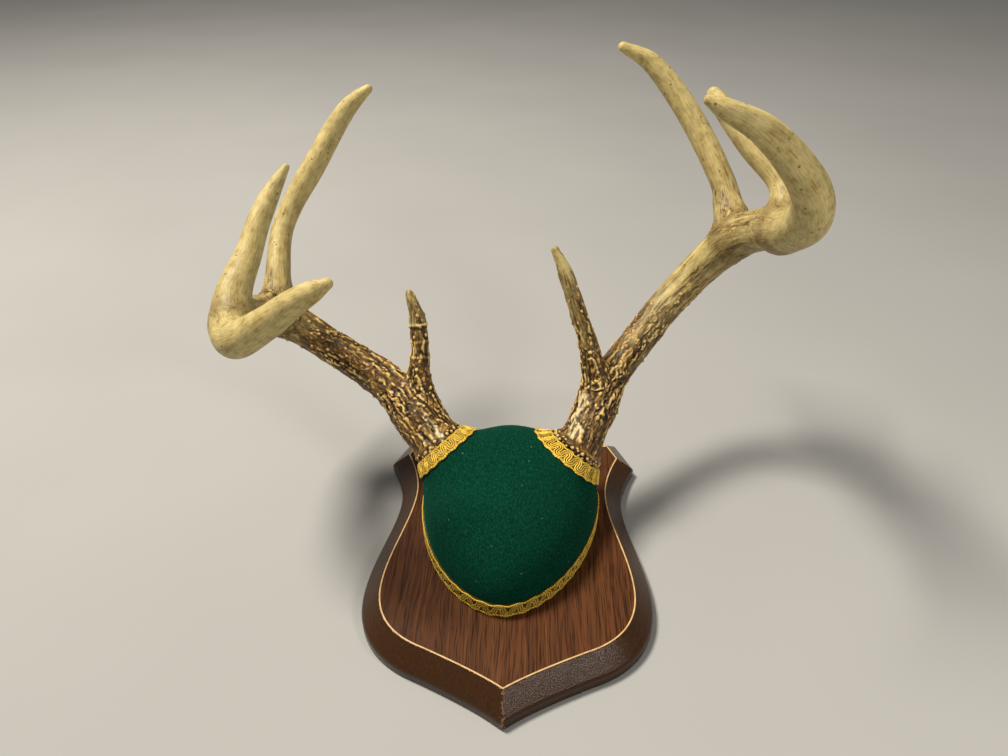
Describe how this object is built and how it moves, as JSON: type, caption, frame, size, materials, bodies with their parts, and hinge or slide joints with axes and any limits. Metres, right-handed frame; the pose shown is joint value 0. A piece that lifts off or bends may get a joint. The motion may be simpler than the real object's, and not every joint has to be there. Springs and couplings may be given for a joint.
{
  "type": "antler mount on a shield plaque",
  "caption": "Whitetail antler mount: branched antlers on a domed felt skull cap with scroll braid, on a bevelled shield-shaped walnut plaque.",
  "frame": {"origin": "centre of the plaque's flat back face, at mid height of the plaque", "axes": "+Z out of the plaque's front, +Y to its flat top edge, +X to the right seen from the front; the plaque lies on its back on z = 0"},
  "size_m": [0.4549, 0.4138, 0.3831],
  "materials": {
    "plaque_border": "satin lacquer over dark brown stain",
    "pinstripe": "pale satin inlay line",
    "walnut_face": "straight-grained walnut, satin",
    "felt": "short-napped pressed felt",
    "gold_braid": "silky rayon scroll braid",
    "antler_brown": "rough, pearled and furrowed brown antler",
    "antler_pale": "smooth satin ivory-coloured antler"
  },
  "bodies": {
    "root": {"plaque_board": "plaque_border", "plaque_pinstripe": "pinstripe", "plaque_face": "walnut_face", "skull_cap": "felt", "base_braid": "gold_braid", "left_collar_braid": "gold_braid", "left_burr": "antler_brown", "left_lower_beam": "antler_brown", "left_middle_beam": "antler_pale", "left_beam_tip": "antler_pale", "left_brow_tine": "antler_brown", "left_second_tine": "antler_pale", "left_third_tine": "antler_pale", "right_collar_braid": "gold_braid", "right_burr": "antler_brown", "right_lower_beam": "antler_brown", "right_middle_beam": "antler_pale", "right_beam_tip": "antler_pale", "right_brow_tine": "antler_brown", "right_second_tine": "antler_pale", "right_third_tine": "antler_pale"}
  },
  "joints": []
}
